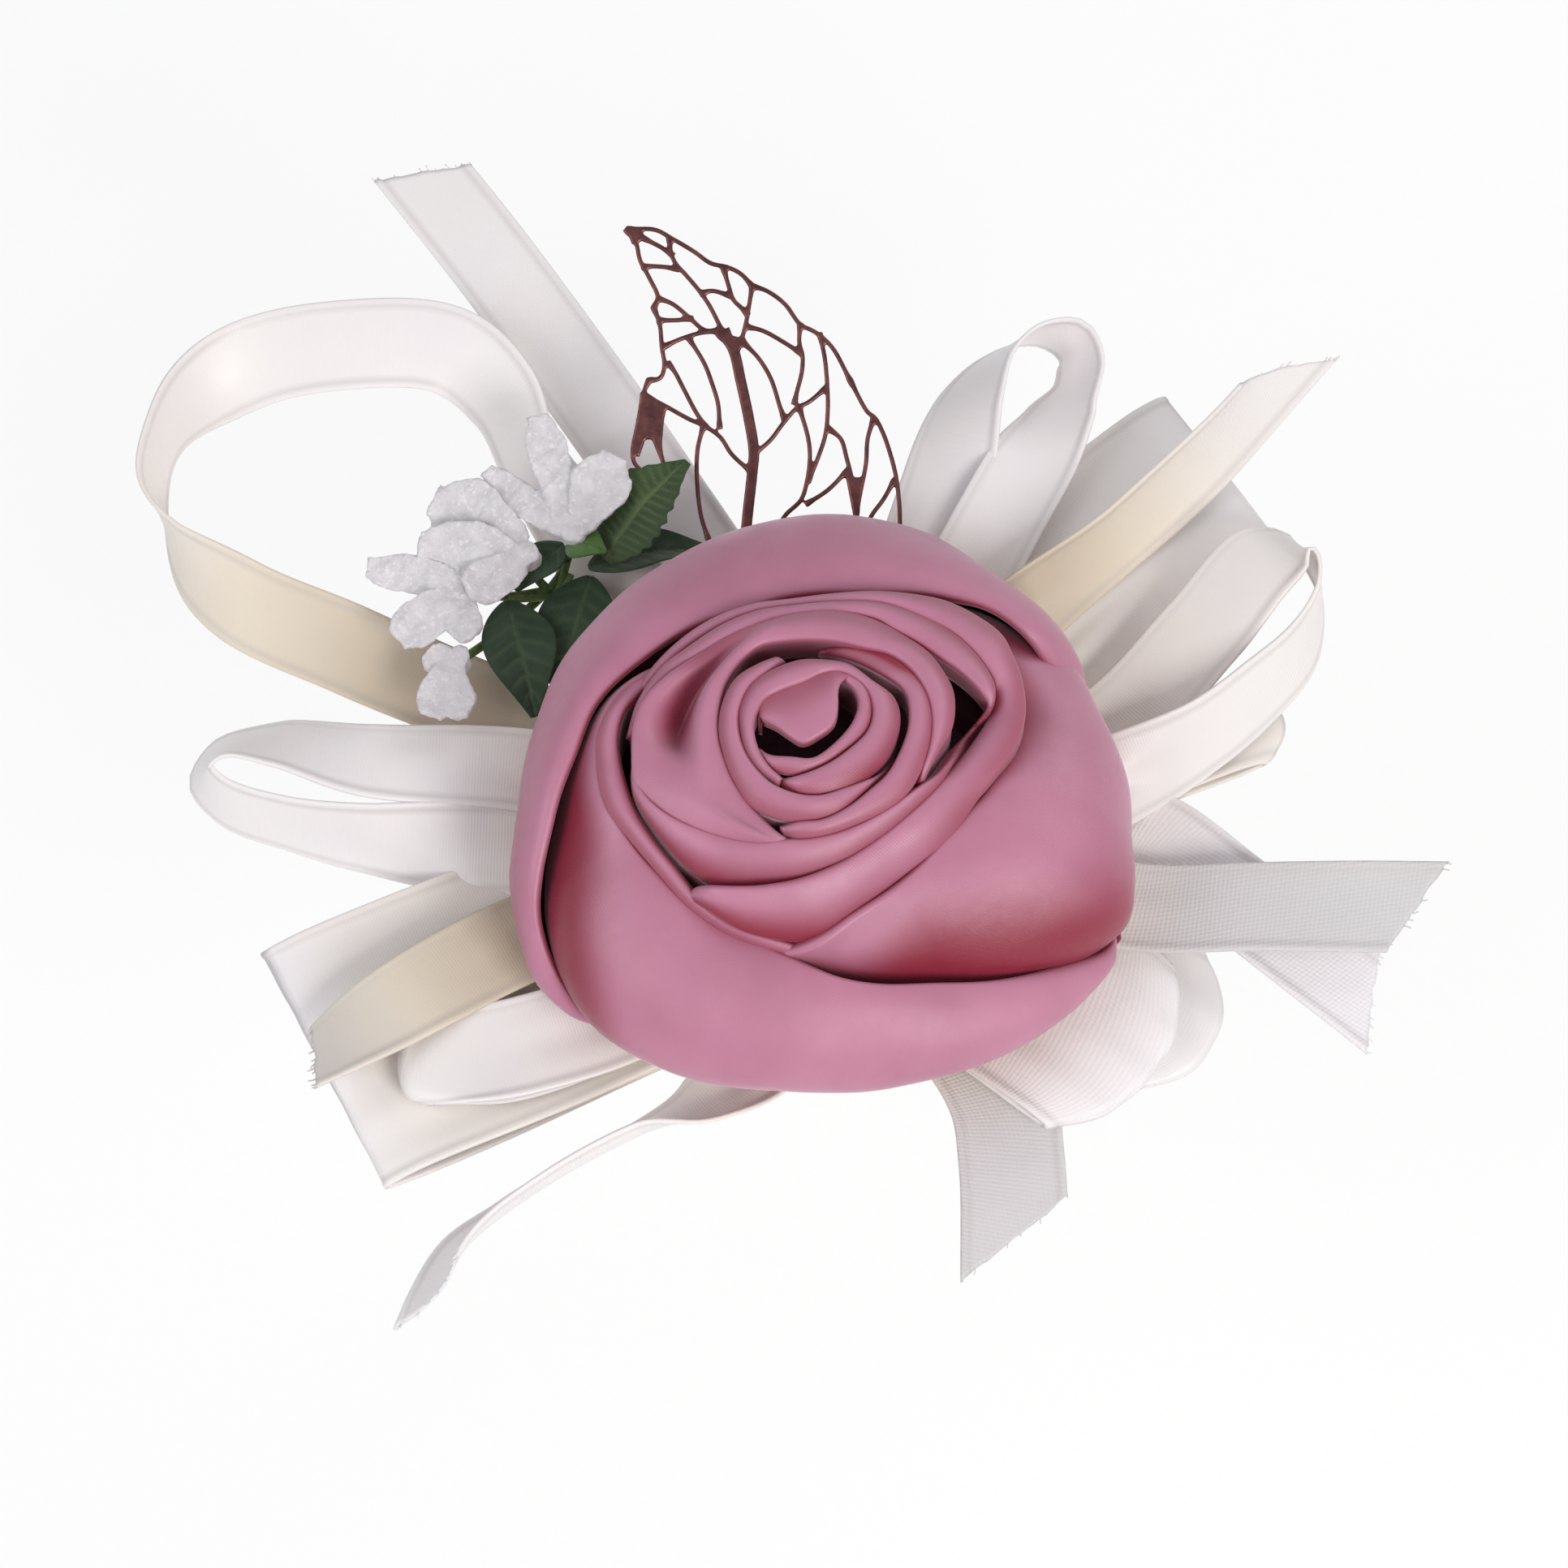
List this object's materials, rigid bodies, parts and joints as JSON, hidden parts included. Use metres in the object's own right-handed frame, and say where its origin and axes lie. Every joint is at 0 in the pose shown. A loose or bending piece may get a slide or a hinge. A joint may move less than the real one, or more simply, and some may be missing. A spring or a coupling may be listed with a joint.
{
  "type": "wrist corsage",
  "caption": "Folded satin rose on a bow of ivory satin ribbon loops and tails, with pierced metal leaf, green leaves and white blossoms, on an elastic band worn round the wrist.",
  "frame": {"origin": "middle of the felt face that lies on the wrist", "axes": "+Z out of the wrist through the rose; +Y along the forearm, on the metal leaf's side; +X to the right of the picture"},
  "size_m": [0.1416, 0.1349, 0.0846],
  "materials": {
    "felt": "matte felt",
    "elastic": "ruched satin over elastic",
    "glue": "set hot glue",
    "rose_satin": "satin",
    "ivory_satin": "satin",
    "leaf_metal": "dark copper plate",
    "green_fabric": "printed woven fabric",
    "blossom_fabric": "matte with fine glitter",
    "green_wire": "floral tape"
  },
  "bodies": {
    "corsage": {"felt_base": "felt", "felt_cover": "felt", "band_right_span": "elastic", "band_left_span": "elastic", "glue_mound": "glue", "rose_base": "rose_satin", "rose_petal_back": "rose_satin", "rose_petal_front": "rose_satin", "rose_petal_right": "rose_satin", "rose_petal_tucked": "rose_satin", "rose_wrap_middle": "rose_satin", "rose_wrap_inner": "rose_satin", "rose_bud": "rose_satin", "filigree_stem": "leaf_metal", "green_leaf_top": "green_fabric", "green_leaf_right": "green_fabric", "green_leaf_left": "green_fabric", "green_leaf_low": "green_fabric", "sprig_stalk": "green_wire", "bow_lower_left": "ivory_satin", "bow_upper_right": "ivory_satin", "loop_upper_left": "ivory_satin", "loop_left": "ivory_satin", "loop_lower_left": "ivory_satin", "loop_upper_right": "ivory_satin", "loop_right": "ivory_satin", "loop_right_low": "ivory_satin", "loop_lower_right": "ivory_satin", "loop_lower_right_back": "ivory_satin", "tail_upper_left": "ivory_satin", "tail_upper_right_root": "ivory_satin", "tail_right_root": "ivory_satin", "tail_right_low": "ivory_satin", "tail_thin": "ivory_satin", "tail_bottom": "ivory_satin", "tail_lower_left": "ivory_satin"},
    "band_under": {"band_underside": "elastic"},
    "metal_leaf": {"filigree_leaf": "leaf_metal"},
    "sprig": {"blossom_stems": "green_wire", "blossom_upper": "blossom_fabric", "blossom_middle": "blossom_fabric", "blossom_left": "blossom_fabric", "blossom_lower": "blossom_fabric"},
    "right_tail": {"tail_right": "ivory_satin"},
    "upper_right_tail": {"tail_upper_right": "ivory_satin"}
  },
  "joints": [
    {"name": "band_stretch", "type": "slide", "parent": "corsage", "child": "band_under", "axis": [0, 0, -1], "range_m": [0, 0.02], "stiffness_N_per_m": 80, "deforming": ["band_right_span", "band_left_span"]},
    {"name": "leaf_tilt", "type": "hinge", "parent": "corsage", "child": "metal_leaf", "pos_m": [-0.0082, 0.0292, 0.0128], "axis": [1, 0, 0], "range_deg": [-12, 0]},
    {"name": "sprig_tilt", "type": "hinge", "parent": "corsage", "child": "sprig", "pos_m": [-0.0294, 0.0282, 0.0099], "axis": [0.3011, 0.9536, 0], "range_deg": [-6, 4]},
    {"name": "right_tail_lift", "type": "hinge", "parent": "corsage", "child": "right_tail", "pos_m": [0.0355, -0.0094, 0.0102], "axis": [0, -1, 0], "range_deg": [-5, 22], "stiffness_Nm_per_rad": 0.002},
    {"name": "upper_right_tail_lift", "type": "hinge", "parent": "corsage", "child": "upper_right_tail", "pos_m": [0.0255, 0.0326, 0.0114], "axis": [0.6, -0.8, 0], "range_deg": [-4, 20], "stiffness_Nm_per_rad": 0.002}
  ]
}
